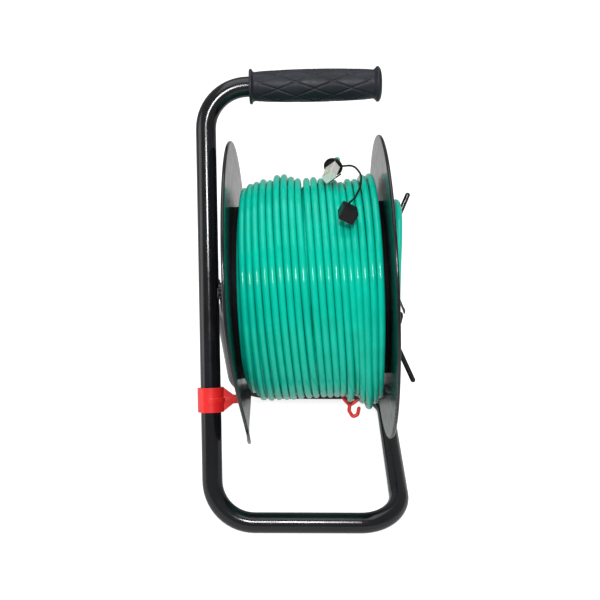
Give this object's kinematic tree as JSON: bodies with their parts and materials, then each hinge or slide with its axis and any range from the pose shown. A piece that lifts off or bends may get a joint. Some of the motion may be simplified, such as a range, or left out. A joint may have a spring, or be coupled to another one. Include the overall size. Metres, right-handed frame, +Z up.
{
  "type": "cable reel",
  "caption": "Network cable reel: open steel drum of green cable turning on a bent-tube stand, with grip handle, drum brake, side coil and capped plugs.",
  "frame": {"origin": "on the floor, below the middle of the reel's box without its cable", "axes": "+X along the drum from the legs' side to the free side, +Y from the front floor bar to the back one, +Z up"},
  "size_m": [0.2196, 0.2974, 0.4065],
  "materials": {
    "stand_paint": "gloss black paint",
    "drum_paint": "gloss black paint",
    "grip_rubber": "satin black rubber",
    "steel": "zinc plated",
    "weld": "painted weld",
    "bush_plastic": "black nylon",
    "black_plastic": "black",
    "cable_jacket": "satin sea-green jacket",
    "plug_shell": "bright shield",
    "plug_contact": "gold plated",
    "soft_black": "soft black moulding",
    "red_plastic": "red"
  },
  "bodies": {
    "stand": {"stand_tube": "stand_paint", "handle_grip": "grip_rubber", "weld_seam_front": "weld", "weld_seam_back": "weld", "axle": "steel", "axle_spacer": "steel", "axle_washer": "steel", "axle_nut": "steel", "axle_cap": "black_plastic"},
    "drum": {"arm_saddle_lower": "drum_paint", "arm_saddle_upper": "drum_paint", "cable_grommet": "soft_black", "cable_hook": "red_plastic", "cap_tether": "soft_black", "coil_arm_lower": "drum_paint", "coil_arm_upper": "drum_paint", "drum_core": "drum_paint", "dust_cap": "soft_black", "lead": "cable_jacket", "left_bush": "bush_plastic", "left_flange": "drum_paint", "main_plug_body": "plug_shell", "main_plug_boot": "soft_black", "main_plug_contacts": "plug_contact", "main_winding": "cable_jacket", "right_bush": "bush_plastic", "right_flange": "drum_paint", "saddle_screw_lower_1": "steel", "saddle_screw_lower_2": "steel", "saddle_screw_upper_1": "steel", "saddle_screw_upper_2": "steel", "side_coil": "cable_jacket", "side_plug_body": "plug_shell", "side_plug_boot": "soft_black", "side_plug_contacts": "plug_contact", "tie_bolt_1": "steel", "tie_bolt_2": "steel", "tie_bolt_3": "steel", "tie_bolt_4": "steel", "tie_nut_1": "steel", "tie_nut_2": "steel", "tie_nut_3": "steel", "tie_nut_4": "steel"},
    "brake": {"drum_brake": "red_plastic"},
    "main_latch": {"main_plug_latch": "black_plastic"},
    "side_latch": {"side_plug_latch": "black_plastic"}
  },
  "joints": [
    {"name": "drum_spin", "type": "hinge", "parent": "stand", "child": "drum", "pos_m": [0.0035, 0, 0.209], "axis": [0.9985, 0, 0.0543], "continuous": true},
    {"name": "brake_swivel", "type": "hinge", "parent": "stand", "child": "brake", "pos_m": [-0.09405, -0.05433, 0.1145], "axis": [-0.0286, 0.4982, 0.8666], "range_deg": [-150, 110]},
    {"name": "main_latch_press", "type": "hinge", "parent": "drum", "child": "main_latch", "pos_m": [0.02104, -0.00412, 0.32631], "axis": [0.7165, -0.2699, 0.6432], "range_deg": [0, 10], "stiffness_Nm_per_rad": 0.01},
    {"name": "side_latch_press", "type": "hinge", "parent": "drum", "child": "side_latch", "pos_m": [0.1016, 0.06076, 0.16562], "axis": [0.047, 0.5, -0.8647], "range_deg": [0, 10], "stiffness_Nm_per_rad": 0.01}
  ]
}
